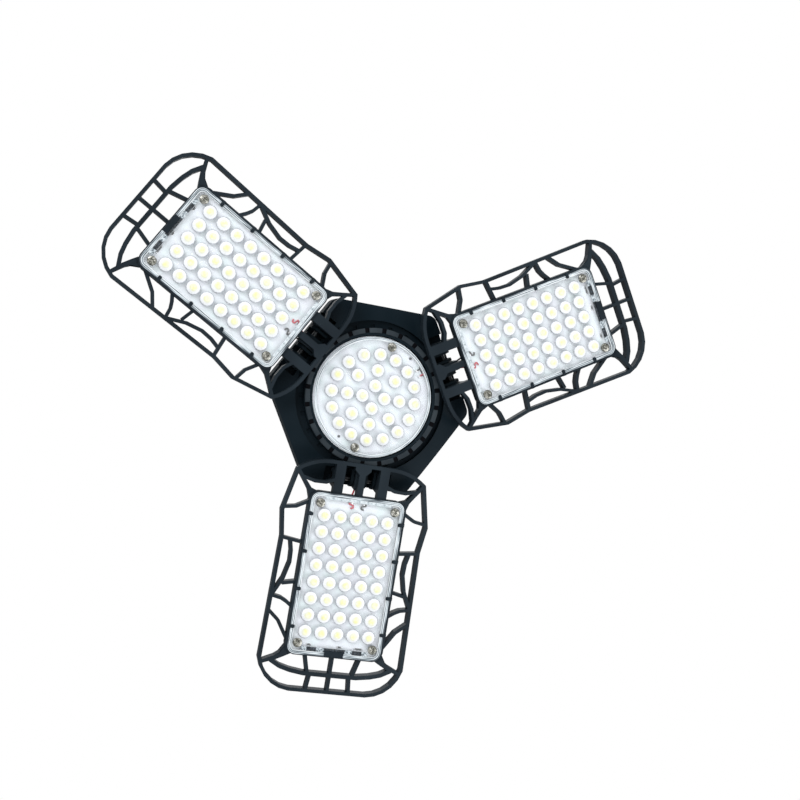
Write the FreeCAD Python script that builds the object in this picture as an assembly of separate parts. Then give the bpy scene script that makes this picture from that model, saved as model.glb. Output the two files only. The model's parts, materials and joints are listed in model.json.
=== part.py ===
import FreeCAD, Part
import math
import os

# Folding garage light: a six-sided hub that screws into a ceiling lamp socket, and three
# hinged wings, each a tray of light-emitting diodes (LEDs) set in an open web frame.
# Frame: millimetres, +Z up along the screw cap, the origin on the cap's axis in the plane
# where the cap meets its housing. The LEDs face down, towards -Z.

# ---- Driving dimensions ----

# Screw cap
cap_radius = 13.1
cap_length = 18.0
cap_wall = 0.6
cap_shoulder_height = 2.6
cap_mouth_radius = 8.6
insulator_height = 3.0
insulator_spigot = 1.4
contact_radius = 4.7
contact_height = 2.0

# Driver housing, between the cap and the hub
housing_length = 50.0
housing_radius = 31.0
housing_wall = 2.0
neck_radius = 15.2
neck_length = 5.0
shoulder_length = 13.0
plug_length = 11.0
vent_count = 12
housing_sides = 24
vent_width = 3.0
vent_length = 17.0

# Driver board and what stands on it
driver_board_height = 30.0
driver_board_thickness = 1.6
transformer_size = (18.0, 14.0, 17.0)
capacitor_radius = 5.0
capacitor_length = 20.0
capacitor_spacing = 28.0

# Hub: a hexagon with a raised round bezel
hub_inradius = 56.7
hub_corner_radius = 6.0
hub_depth = 16.0
hub_back_bevel = 5.0
hub_back_radius = 37.0
hub_wall = 2.4
hub_opening_radius = 24.0
bezel_radius = 42.8
bezel_bore = 38.2
bezel_height = 2.0
groove_radius = 47.6
groove_floor = -6.0
slope_top = -3.0
rim_to_board = 6.0
notch_count = 24
round_sides = 48
notch_width = 2.7
ledge_width = 6.8
ledge_thickness = 2.0
cavity_inradius = 41.0
board_gap = 0.5
lead_bearing = -36.0
lead_notch_width = 6.4

# LED boards, chips and lenses
board_thickness = 1.4
chip_length = 3.5
chip_width = 2.8
chip_height = 0.7
lens_radius = 4.4
lens_top_radius = 2.2
lens_height = 2.8
lens_sides = 6
cover_gap = 1.3
cover_thickness = 1.0
cover_lip = 1.1
hub_cover_radius = 36.7
hub_ring_counts = (4, 8, 16)
hub_ring_radii = (7.1, 16.76, 26.75)
hub_screw_circle = 33.0
hub_screw_bearing = -78.75

# Wings
wing_bearings = {"a": 210.0, "b": 330.0, "c": 90.0}
wing_plane = 7.56
led_pitch_along = 10.165
led_pitch_across = 10.0
led_rows_along = 8
led_rows_across = 5
first_led = 75.17
tray_start = 61.0
tray_length = 100.0
tray_half_width = 30.8
tray_wall = 2.0
tray_corner_radius = 6.0
tray_lip = 0.2
board_margin = 0.8
board_end_notch = 6.3
frame_back = 3.5
frame_front = 9.0
rib_width = 2.0
edge_width = 2.2
inner_bar = 42.5
tip_overhang = 21.4
side_overhang = 13.2
end_bar_width = 2.6
groove_count = 5
groove_width = 3.0
groove_depth = 1.1
hook_size = 2.0
hook_reach = 1.0
hook_height = 0.9

# Hinges
hinge_radius = 52.0
hinge_level = -3.5
knuckle_radius = 5.0
knuckle_inner_half = 3.0
strap_inner_half = 2.0
strap_flare_half = 5.0
strap_outer_from = 11.0
strap_outer_to = 17.0
ear_radius = 4.8
ear_faces = ((3.4, 5.2), (8.8, 10.6))
bay_half_width = 21.2
bay_clearance = 0.8
pin_radius = 1.5
pin_clearance = 0.05
bore_sides = 12
nut_across_flats = 5.5
nut_height = 2.4
recess_gap = 0.15

# Screws and leads
screw_radius = 1.4
screw_hole_gap = 0.1
screw_head_radius = 2.8
screw_head_height = 1.6
screw_head_sides = 8
screw_shank_sides = 4
housing_screw_circle = 27.6
housing_screw_length = 9.0
boss_radius = 3.6
boss_sides = 6
lead_radius = 0.55
lead_spacing = 7.6
lead_bend = 1.0
lead_sides = 4
lead_hole_gap = 0.35
fit_gap = 0.05

# ---- Levels worked out from them ----

UP = FreeCAD.Vector(0, 0, 1)
CENTRE = FreeCAD.Vector(0, 0, 0)
hub_back = -housing_length
hub_rim = hub_back - hub_depth
board_face = hub_rim - rim_to_board
tray_end = tray_start + tray_length
tip_bar = tray_end + tip_overhang
wing_half_width = tray_half_width + side_overhang
cover_top = wing_plane + cover_gap + cover_thickness
tray_front = cover_top + tray_lip
tray_floor = wing_plane - board_thickness
pocket_start = tray_start + tray_wall - board_margin
pocket_end = tray_end - tray_wall + board_margin
pocket_half_width = tray_half_width - tray_wall
bay_start = hinge_radius - knuckle_radius - bay_clearance
bay_floor = hinge_level - knuckle_radius - bay_clearance
cap_top = cap_length + cap_shoulder_height
screw_head_seat = -strap_outer_to + screw_head_height + 0.2
nut_seat = strap_outer_to - nut_height - 0.2


# ---- Shape helpers ----

def vec(x, y, z):
    return FreeCAD.Vector(x, y, z)


def level(front):
    """Height of a plane that lies `front` millimetres in front of the hub's LED board."""
    return board_face - front


def polar(radius, bearing, z):
    turn = math.radians(bearing)
    return vec(radius * math.cos(turn), radius * math.sin(turn), z)


def turned_to(shape, bearing):
    return shape.copy().rotate(CENTRE, UP, bearing)


def flat(a, b):
    return vec(a, b, 0)


def upright(a, b):
    return vec(a, 0, b)


def trace(points, place, closed=True):
    """A wire through points; a (via, end) pair bends through via on its way to end."""
    edges = []
    here = place(*points[0])
    steps = list(points[1:])
    if closed:
        steps.append(points[0])
    for step in steps:
        if isinstance(step[0], tuple):
            there = place(*step[1])
            edges.append(Part.Arc(here, place(*step[0]), there).toShape())
        else:
            there = place(*step)
            edges.append(Part.LineSegment(here, there).toShape())
        here = there
    return Part.Wire(edges)


def turned(profile):
    """A solid of revolution about Z from (radius, height) points."""
    return Part.Face(trace(profile, upright)).revolve(CENTRE, UP, 360)


def block(x0, x1, y0, y1, z0, z1):
    return Part.makeBox(x1 - x0, y1 - y0, z1 - z0, vec(x0, y0, z0))


def layer(x0, x1, y0, y1, back, front):
    """A box between two planes, `back` and `front` ahead of the hub's LED board."""
    return block(x0, x1, y0, y1, level(front), level(back))


def rounded_layer(x0, x1, half_width, radius, back, front):
    """A plate with its four corners rounded in short straight runs."""
    steps = 3
    points = []
    for cx, cy, start in ((x1 - radius, half_width - radius, 0),
                          (x0 + radius, half_width - radius, 90),
                          (x0 + radius, radius - half_width, 180),
                          (x1 - radius, radius - half_width, 270)):
        for i in range(steps + 1):
            turn = math.radians(start + 90.0 * i / steps)
            points.append((cx + radius * math.cos(turn), cy + radius * math.sin(turn)))
    return plate(points, back, front)


def in_short_runs(points, steps=5):
    """The same outline with each bend given by a few points on its arc."""
    path = [points[0]]
    for step in points[1:]:
        if isinstance(step[0], tuple):
            arc = Part.Arc(flat(*path[-1]), flat(*step[0]), flat(*step[1])).toShape()
            path += [(p.x, p.y) for p in arc.discretize(steps + 1)[1:]]
        else:
            path.append(step)
    return path


def face_between(outer, inner, back, front):
    """The band between two closed wires, made as deep as the web."""
    band = Part.Face(outer).cut(Part.Face(inner))
    band.translate(vec(0, 0, level(front)))
    return band.extrude(vec(0, 0, front - back))


def plate(points, back, front):
    """A flat plate with corners at (x, y) points, between two planes."""
    face = Part.Face(trace(points, flat))
    face.translate(vec(0, 0, level(front)))
    return face.extrude(vec(0, 0, front - back))


def ring(radius, sides, phase=0.0):
    """Corners of a regular polygon, the first at angle `phase` from X."""
    return [(radius * math.cos(math.radians(phase) + 2 * math.pi * i / sides),
             radius * math.sin(math.radians(phase) + 2 * math.pi * i / sides))
            for i in range(sides)]


def peg(radius, sides, back, front, x=0.0, y=0.0):
    """A prism between two planes, with its corners on a circle."""
    body = plate(ring(radius, sides), back, front)
    body.translate(vec(x, y, 0))
    return body


def upright_peg(radius, sides, low, high, x=0.0, y=0.0):
    """A prism between two heights, with its corners on a circle."""
    return peg(radius, sides, board_face - high, board_face - low, x, y)


def stack(profile, sides):
    """A many-sided solid about Z from (radius, height) points."""
    return loops_to_solid([[vec(x, y, z) for x, y in ring(radius, sides)]
                           for radius, z in profile])


def loops_to_solid(loops):
    """A solid skinned over loops of points that follow each other; all its faces are flat."""
    faces = [Part.Face(Part.makePolygon(loop + loop[:1])) for loop in (loops[0], loops[-1])]
    for low, high in zip(loops, loops[1:]):
        for i in range(len(low)):
            j = (i + 1) % len(low)
            quad = [low[i], low[j], high[j], high[i], low[i]]
            faces.append(Part.Face(Part.makePolygon(quad)))
    solid = Part.Solid(Part.Shell(faces))
    if solid.Volume < 0:
        solid.reverse()
    return solid


def bent_rib(points, width, back, front):
    """A bar of even width along straight runs through points, mitred at the bends."""
    left = []
    right = []
    for i, (x, y) in enumerate(points):
        before = points[max(i - 1, 0)]
        after = points[min(i + 1, len(points) - 1)]
        run_in = flat(x - before[0], y - before[1]) if i else flat(after[0] - x, after[1] - y)
        run_out = flat(after[0] - x, after[1] - y) if i < len(points) - 1 else run_in
        middle = run_in.normalize() + run_out.normalize()
        middle.normalize()
        half = width / 2 / math.cos(middle.getAngle(run_in))
        left.append((x - middle.y * half, y + middle.x * half))
        right.append((x + middle.y * half, y - middle.x * half))
    return plate(left + right[::-1], back, front)


def mirrored(shape):
    return shape.mirror(CENTRE, vec(0, 1, 0))


def joined(first, others):
    return first.multiFuse(others).removeSplitter()


def tube(points, radius, bend):
    """A lead of many-sided section along straight runs, each corner cut to a short slant."""
    path = [points[0]]
    for before, corner, after in zip(points, points[1:], points[2:]):
        path.append(corner + (before - corner).normalize() * bend)
        path.append(corner + (after - corner).normalize() * bend)
    path.append(points[-1])
    run = (path[1] - path[0]).normalize()
    side = run.cross(UP if abs(run.z) < 0.9 else vec(1, 0, 0)).normalize()
    other = run.cross(side)
    loop = [path[0] + side * a + other * b for a, b in ring(radius, lead_sides)]
    loops = [loop]
    for i in range(1, len(path)):
        run = (path[i] - path[i - 1]).normalize()
        ahead = run
        if i < len(path) - 1:
            ahead = (path[i + 1] - path[i]).normalize()
        normal = run + ahead
        loop = [p + run * ((path[i] - p).dot(normal) / run.dot(normal)) for p in loop]
        loops.append(loop)
    return loops_to_solid(loops)


def pan_screw(x, y, seat, length):
    """A pan-head screw driven upwards, its head's underside at level `seat`."""
    head = peg(screw_head_radius, screw_head_sides, seat, seat + screw_head_height, x, y)
    shank = peg(screw_radius, screw_shank_sides, seat - length, seat, x, y)
    return joined(head, [shank])


def save(name, shape):
    solids = shape.Solids
    if not shape.isValid() or not solids:
        raise ValueError("bad solid in " + name)
    whole = solids[0] if len(solids) == 1 else Part.makeCompound(solids)
    whole.exportStep("parts/" + name + ".step")
    print(name, len(solids), round(sum(s.Volume for s in solids), 1))


# ---- Screw cap and driver ----

def screw_shell():
    """The cap: a plain shell at the thread's crest radius, drawn in to its mouth."""
    outside = turned([
        (0, 0),
        (cap_radius, 0),
        (cap_radius, cap_length),
        (cap_mouth_radius + cap_wall, cap_top),
        (0, cap_top),
    ])
    inside = upright_peg(cap_radius - cap_wall, housing_sides, 0, cap_length - cap_wall)
    mouth = upright_peg(cap_mouth_radius, housing_sides, 0, cap_top)
    return outside.cut(Part.makeCompound([inside, mouth]))


def cap_insulator():
    foot = cap_mouth_radius - fit_gap
    stem = contact_radius / 5 + fit_gap
    spigot = upright_peg(foot, housing_sides, cap_top - insulator_spigot, cap_top)
    cone = stack([(foot, cap_top), (contact_radius + 0.6, cap_top + insulator_height)], housing_sides)
    hole = upright_peg(stem, 6, cap_top - insulator_spigot, cap_top + insulator_height)
    return joined(spigot, [cone]).cut(hole)


def centre_contact():
    seat = cap_top + insulator_height
    low = seat - insulator_height - insulator_spigot
    button = stack([(contact_radius, seat), (contact_radius * 0.9, seat + contact_height * 0.5),
                    (contact_radius * 0.55, seat + contact_height)], 12)
    return joined(button, [upright_peg(contact_radius / 5, 6, low, seat)])


def driver_housing():
    shoulder = neck_length + shoulder_length
    plug = cap_radius - cap_wall - fit_gap
    outside = stack([
        (housing_radius, hub_back),
        (housing_radius, -shoulder),
        (neck_radius + 1.2, -neck_length),
        (neck_radius, 0),
    ], housing_sides)
    body = joined(outside, [upright_peg(plug, housing_sides, 0, plug_length)])
    inside = housing_radius - housing_wall
    hollow = [upright_peg(inside, housing_sides, hub_back, -shoulder),
              upright_peg(plug - housing_wall, 12, -shoulder, plug_length)]
    body = body.cut(Part.makeCompound(hollow))
    vent_low = hub_back + 8.0
    vent = block(inside - 1, housing_radius + 1, -vent_width / 2, vent_width / 2,
                 vent_low, vent_low + vent_length)
    step = 360.0 / housing_sides
    vents = [turned_to(vent, step * (2 * i + 0.5)) for i in range(vent_count)]
    body = body.cut(Part.makeCompound(vents))
    rail_gap = driver_board_thickness / 2 + fit_gap
    rails = []
    for side in (-1, 1):
        for face in (-1, 1):
            near = face * rail_gap
            far = face * (rail_gap + 1.6)
            rails.append(block(*sorted((side * (inside - 3.0), side * (inside + 0.6))),
                               *sorted((near, far)), hub_back, hub_back + driver_board_height))
    bosses = []
    holes = []
    for bearing in wing_bearings.values():
        foot = polar(housing_screw_circle, bearing, 0)
        bosses.append(upright_peg(boss_radius, boss_sides, hub_back,
                                  hub_back + housing_screw_length + 1.0, foot.x, foot.y))
        holes.append(upright_peg(screw_radius + screw_hole_gap, screw_shank_sides, hub_back,
                                 hub_back + housing_screw_length, foot.x, foot.y))
    bosses = [boss.common(outside) for boss in bosses]
    return joined(body, rails + bosses).cut(Part.makeCompound(holes))


def housing_screws():
    screws = []
    for bearing in wing_bearings.values():
        foot = polar(housing_screw_circle, bearing, 0)
        seat = board_face - (hub_back - hub_wall)
        screws.append(pan_screw(foot.x, foot.y, seat, hub_wall + housing_screw_length - 0.8))
    return Part.makeCompound(screws)


def driver_board():
    half = housing_radius - housing_wall - 0.5
    return block(-half, half, -driver_board_thickness / 2, driver_board_thickness / 2,
                 hub_back, hub_back + driver_board_height)


def driver_transformer():
    width, depth, height = transformer_size
    foot = driver_board_thickness / 2
    low = hub_back + 6.0
    core = block(-width / 2, width / 2, foot, foot + depth, low + 3.0, low + height - 3.0)
    winding = upright_peg(depth / 2, 12, low, low + height, 0.0, foot + depth / 2)
    return joined(core, [winding])


def driver_capacitors():
    depth = -(driver_board_thickness / 2 + capacitor_radius)
    low = hub_back + 5.0
    cans = [upright_peg(capacitor_radius, 12, low, low + capacitor_length,
                        side * capacitor_spacing / 2, depth) for side in (-1, 1)]
    return Part.makeCompound(cans)


# ---- Hub ----

def hexagonal_plate(inradius, front, back):
    """A six-sided prism, its flats towards the wings, between two planes."""
    corner = inradius / math.cos(math.radians(30))
    return plate(ring(corner, 6), front, back)


def hexagon():
    """The hub's body: six sides, rounded corners and a flat bevel all round the back."""
    high = board_face - hub_back
    middle = board_face - (hub_back - hub_back_bevel)
    block_part = hexagonal_plate(hub_inradius, middle, bezel_height)
    loops = []
    for inradius, depth in ((hub_inradius, middle), (hub_back_radius + 4.0, high)):
        radius = inradius / math.cos(math.radians(30))
        loops.append([vec(x, y, level(depth)) for x, y in ring(radius, 6)])
    body = joined(block_part, [loops_to_solid(loops)])
    uprights = [e for e in body.Edges if abs(e.tangentAt(e.FirstParameter).z) > 0.99]
    return body.makeFillet(hub_corner_radius, uprights)


def ear(faces):
    """One hub-side hinge ear, rooted in the wall of its bay."""
    low, high = faces
    axis = level(hinge_level)
    root = bay_start - 0.5
    foot = level(bay_floor - 0.5)
    profile = [
        (root, axis - ear_radius),
        (hinge_radius + ear_radius * 0.4, axis - ear_radius),
        (hinge_radius + ear_radius, axis - ear_radius * 0.4),
        (hinge_radius + ear_radius, axis + ear_radius * 0.4),
        (hinge_radius + ear_radius * 0.4, axis + ear_radius),
        (hinge_radius - ear_radius / 2, foot),
        (root, foot),
    ]
    face = Part.Face(trace(profile, upright))
    face.translate(vec(0, low, 0))
    return face.extrude(vec(0, high - low, 0))


def hub_shell():
    corner = hub_inradius / math.cos(math.radians(30)) + 4.0
    slope = stack([
        (corner, hub_back),
        (corner, hub_rim),
        (groove_radius, level(slope_top)),
    ], round_sides)
    groove = peg(groove_radius, round_sides, groove_floor, slope_top)
    bezel = peg(bezel_radius, round_sides, groove_floor, bezel_height)
    outside = joined(slope.cut(groove), [bezel])
    body = outside.common(hexagon())
    cavity_front = level(bay_floor - hub_wall / 2)
    seat = peg(bezel_bore, round_sides, -board_thickness, bezel_height)
    passage = peg(bezel_bore - ledge_width, 24, board_face - cavity_front, 0)
    high = board_face - hub_back
    cavity = hexagonal_plate(cavity_inradius, board_face - cavity_front, high + hub_wall)
    opening = peg(hub_opening_radius, 24, high, high + hub_wall)
    body = body.cut(Part.makeCompound([seat, passage, cavity, opening]))
    notch = layer(bezel_radius - 0.6, bezel_radius + 2.2, -notch_width / 2, notch_width / 2,
                  groove_floor - 1.0, slope_top + 2.0)
    cuts = [turned_to(notch, 360.0 * i / notch_count + 7.5) for i in range(notch_count)]
    bay = layer(bay_start, corner + 10, -bay_half_width, bay_half_width, bay_floor, bezel_height + 1)
    cuts += [turned_to(bay, bearing) for bearing in wing_bearings.values()]
    body = body.cut(Part.makeCompound(cuts))
    ears = []
    for faces in ear_faces:
        flap = ear(faces)
        ears += [turned_to(f, b) for f in (flap, mirrored(flap)) for b in wing_bearings.values()]
    for turn in (0, 180):
        boss = polar(hub_screw_circle, hub_screw_bearing + turn, 0)
        ears.append(peg(boss_radius, boss_sides, -board_thickness - ledge_thickness - 3.0,
                        -board_thickness, boss.x, boss.y))
    body = joined(body, ears)
    holes = []
    for bearing in wing_bearings.values():
        holes.append(turned_to(pin_bore(), bearing))
        spot = polar(housing_screw_circle, bearing, 0)
        high = board_face - hub_back
        holes.append(peg(screw_radius + screw_hole_gap, screw_shank_sides, high - 1.0,
                         high + hub_wall + 1.0, spot.x, spot.y))
    for turn in (0, 180):
        spot = polar(hub_screw_circle, hub_screw_bearing + turn, 0)
        holes.append(peg(screw_radius + screw_hole_gap, screw_shank_sides,
                         -board_thickness - ledge_thickness - 3.0, -board_thickness,
                         spot.x, spot.y))
    holes.append(lead_notch())
    return body.cut(Part.makeCompound(holes))


def lead_notch():
    """The slot where the hub's two leads come up past the edge of the LED board."""
    slot = layer(hub_cover_radius - 2.0, bezel_bore, -lead_notch_width / 2, lead_notch_width / 2,
                 bay_floor - hub_wall, 0)
    return turned_to(slot, lead_bearing)


def hub_board():
    board = peg(bezel_bore - board_gap, round_sides, -board_thickness, 0)
    holes = [lead_notch()]
    for turn in (0, 180):
        spot = polar(hub_screw_circle, hub_screw_bearing + turn, 0)
        holes.append(peg(screw_radius + screw_hole_gap, screw_shank_sides, -board_thickness, 0,
                         spot.x, spot.y))
    return board.cut(Part.makeCompound(holes))


def hub_led_spots():
    """Centres of the hub's LEDs, on three rings."""
    return [polar(radius, 360.0 * i / count, 0)
            for count, radius in zip(hub_ring_counts, hub_ring_radii) for i in range(count)]


def chips(spots, plane):
    shapes = []
    for spot in spots:
        shapes.append(layer(spot.x - chip_length / 2, spot.x + chip_length / 2,
                            spot.y - chip_width / 2, spot.y + chip_width / 2,
                            plane, plane + chip_height))
    return Part.makeCompound(shapes)


def lens_domes(spots, plane):
    """Round lenses that stand on a cover whose front is `cover_top` of that plane."""
    foot = plane + cover_gap + cover_thickness
    shapes = []
    for spot in spots:
        loops = []
        for radius, front in ((lens_radius, foot), (lens_top_radius, foot + lens_height)):
            loops.append([vec(spot.x + x, spot.y + y, level(front))
                          for x, y in ring(radius, lens_sides, 180.0 / lens_sides)])
        shapes.append(loops_to_solid(loops))
    return shapes


def hub_cover():
    front = cover_gap + cover_thickness
    cover = peg(hub_cover_radius, round_sides, 0, front)
    cover = cover.cut(peg(hub_cover_radius - cover_lip, round_sides // 2, 0, cover_gap))
    body = joined(cover, lens_domes(hub_led_spots(), 0.0))
    holes = []
    for turn in (0, 180):
        spot = polar(hub_screw_circle, hub_screw_bearing + turn, 0)
        holes.append(peg(screw_radius + screw_hole_gap, screw_shank_sides, 0, front,
                         spot.x, spot.y))
    slot = layer(hub_cover_radius - 3.0, hub_cover_radius + 1, -lead_notch_width / 2,
                 lead_notch_width / 2, 0, cover_gap)
    holes.append(turned_to(slot, lead_bearing))
    return body.cut(Part.makeCompound(holes))


def hub_cover_screws():
    front = cover_gap + cover_thickness
    length = front + board_thickness + ledge_thickness + 2.4
    screws = []
    for turn in (0, 180):
        spot = polar(hub_screw_circle, hub_screw_bearing + turn, 0)
        screws.append(pan_screw(spot.x, spot.y, front, length))
    return Part.makeCompound(screws)


def hub_lead(side):
    """A lead from the hub's LED board, past its edge, to the driver board."""
    shift = lead_spacing / 4 * side
    rise = lead_radius + fit_gap
    drop = bezel_bore - 1.4
    foot = driver_board_thickness / 2 + lead_radius + fit_gap
    route = [
        vec(hub_cover_radius - 4.0, shift, level(rise)),
        vec(drop, shift, level(rise)),
        vec(drop, shift, level(bay_floor - hub_wall)),
    ]
    turn = math.radians(lead_bearing)
    route = [vec(p.x * math.cos(turn) - p.y * math.sin(turn),
                 p.x * math.sin(turn) + p.y * math.cos(turn), p.z) for p in route]
    end_x = 8.0 + 4.0 * side
    route.append(vec(end_x, -foot, level(-14.0)))
    route.append(vec(end_x, -foot, hub_back + 4.0))
    return tube(route, lead_radius, lead_bend)


# ---- Wings, each made along +X and then turned to its bearing ----

def along(share):
    """The x of a place that lies this share of the tray's length from its start."""
    return tray_start + share * tray_length


def side_line(x):
    """Half-width of the web's long side at x: it widens a little towards the tip."""
    waist = along(0.3)
    return wing_half_width - 0.8 + 1.5 * (x - waist) / (tray_end + 4.0 - waist)


def web_outline():
    """Centreline of the web's edge: straight runs, with an arc at each corner."""
    inner_half = wing_half_width - 24.0
    tip_half = wing_half_width - 20.0
    corner = (inner_bar + 7.0, wing_half_width - 4.0)
    shoulder = (tray_start + 14.0, wing_half_width + 1.6)
    waist = (along(0.3), side_line(along(0.3)))
    side_end = (tray_end + 4.0, side_line(tray_end + 4.0))
    corner_via = (inner_bar + 2.0, wing_half_width - 13.0)
    tip_via = (tip_bar - 5.6, wing_half_width - 6.4)
    upper = [
        (inner_bar, inner_half),
        (corner_via, corner),
        shoulder,
        waist,
        side_end,
        (tip_via, (tip_bar, tip_half)),
    ]
    lower = [
        (tip_bar, -tip_half),
        ((tip_via[0], -tip_via[1]), (side_end[0], -side_end[1])),
        (waist[0], -waist[1]),
        (shoulder[0], -shoulder[1]),
        (corner[0], -corner[1]),
        ((corner_via[0], -corner_via[1]), (inner_bar, -inner_half)),
    ]
    return trace(in_short_runs(upper + lower), flat)


def web_ribs():
    """The bent struts between tray and edge, for the half where y is positive."""
    foot = tray_half_width - tray_wall / 2
    gap = wing_half_width - foot
    second = inner_bar + 10.5
    bow = [
        (along(0.318), foot + 0.55 * gap),
        (along(0.38), foot + 0.45 * gap),
        (along(0.45), foot + 0.43 * gap),
        (along(0.55), foot + 0.60 * gap),
        (along(0.665), side_line(along(0.665))),
    ]
    runs = [
        [(second, strap_outer_to - 1), (second + 2.4, foot - 8.0), (second + 2.6, foot - 1.0),
         (second + 0.6, foot + 7.0)],
        [(tray_start + 1.8, foot), (inner_bar + 7.4, wing_half_width - 4.4)],
        [(tray_start + 12.4, wing_half_width + 1), (tray_start + 11.2, foot + 0.55 * gap),
         (tray_start + 6.9, foot)],
        bow,
        [(along(0.324), foot), (along(0.306), side_line(along(0.306)))],
        [(along(0.563), foot), (along(0.582), foot + 0.62 * gap)],
        [(along(0.66), side_line(along(0.66))), (along(0.672), foot + 0.55 * gap),
         (along(0.69), foot + 0.3 * gap), (along(0.72), foot)],
        [(along(0.75), side_line(along(0.75))), (along(0.81), foot + 0.5 * gap),
         (along(0.92), foot)],
        [(tray_end - 1.0, foot - 1.0), (tray_end + 3.6, foot + 0.5 * gap),
         (tray_end + 6.3, wing_half_width - 0.7)],
    ]
    return [bent_rib(points, rib_width, frame_back, frame_front) for points in runs]


def end_bars():
    """The bars across the wing's tip: one bowed across it and one in the middle of the web."""
    foot = tray_half_width - tray_wall / 2
    mid = tip_bar - 10.3
    half = foot - 13.1
    bow = [(tray_end + 4.8, foot + 8.2), (mid - 3.0, foot + 2.0), (mid - 1.2, foot - 4.6), (mid, half),
           (mid, -half), (mid - 1.2, 4.6 - foot), (mid - 3.0, -foot - 2.0),
           (tray_end + 4.8, -foot - 8.2)]
    bars = [bent_rib(bow, end_bar_width, frame_back, frame_front)]
    bars.append(layer(tray_end - 0.5, tip_bar, -rib_width / 2, rib_width / 2, frame_back,
                      frame_front))
    for side in (-1, 1):
        ties = [[(tray_end - 0.5, side * (foot - 12.6)), (mid, side * (foot - 15.8))],
                [(mid, side * (foot - 17.4)), (tip_bar, side * (foot - 16.2))]]
        bars += [bent_rib(tie, rib_width, frame_back, frame_front) for tie in ties]
    return bars


def knuckle(low, high):
    """A wing-side hinge boss: a round eye on the pin, run up to the strap's back."""
    axis = level(hinge_level)
    top = level(frame_back + 0.5)
    profile = [(hinge_radius + x, axis + y) for x, y in ring(knuckle_radius, 12)[:7]]
    profile += [
        (hinge_radius - knuckle_radius - 1.2, top),
        (hinge_radius + knuckle_radius + 1.2, top),
    ]
    face = Part.Face(trace(profile, upright))
    face.translate(vec(0, low, 0))
    return face.extrude(vec(0, high - low, 0))


def hinge_straps():
    start = inner_bar - edge_width / 2
    end = tray_start + 1.0
    flare = 4.0
    parts = [layer(start, end, -strap_inner_half, strap_inner_half, frame_back, frame_front)]
    fan = [
        (start, -strap_flare_half),
        (start, strap_flare_half),
        (start + flare, strap_flare_half),
        (start + flare + 3.0, strap_inner_half),
        (start + flare + 3.0, -strap_inner_half),
        (start + flare, -strap_flare_half),
    ]
    face = Part.Face(trace(fan, flat))
    face.translate(vec(0, 0, level(frame_front)))
    parts.append(face.extrude(vec(0, 0, frame_front - frame_back)))
    parts.append(knuckle(-knuckle_inner_half, knuckle_inner_half))
    for side in (-1, 1):
        near, far = sorted((side * strap_outer_from, side * strap_outer_to))
        parts.append(layer(start, end, near, far, frame_back, frame_front))
        parts.append(knuckle(near, far))
    return parts


def cover_screw_spots():
    xs = (first_led - 7.2, first_led + (led_rows_along - 1) * led_pitch_along + 7.2)
    y = led_pitch_across * (led_rows_across - 1) / 2 + 3.5
    return [vec(x, side * y, 0) for x in xs for side in (-1, 1)]


def wing_led_spots():
    middle = (led_rows_across - 1) / 2
    return [vec(first_led + led_pitch_along * i, led_pitch_across * (j - middle), 0)
            for i in range(led_rows_along) for j in range(led_rows_across)]


def wing_lead(side, radius=None):
    """A lead from the LED board, through the tray's floor, into the middle knuckle."""
    if radius is None:
        radius = lead_radius
    outer = lead_spacing / 2 * side
    inner = 1.5 * side
    rise = wing_plane + lead_radius + fit_gap
    low = frame_back - lead_radius - 1.0
    down = pocket_start + 2.6
    route = [
        vec(down + 3.6, outer, level(rise)),
        vec(down, outer, level(rise)),
        vec(down, outer, level(low)),
        vec(hinge_radius + knuckle_radius - 1.5, inner, level(low)),
    ]
    return tube(route, radius, lead_bend)


def hooks():
    """Small snap hooks over the cover's edge: eight along the sides, four at the ends."""
    shapes = []
    base = cover_top + fit_gap
    reach = pocket_half_width - hook_reach
    for i in range(4):
        x = along(0.14) + i * (along(0.83) - along(0.14)) / 3
        for side in (-1, 1):
            near, far = sorted((side * reach, side * tray_half_width))
            shapes.append(layer(x - hook_size / 2, x + hook_size / 2, near, far,
                                base, base + hook_height))
    return shapes


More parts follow.
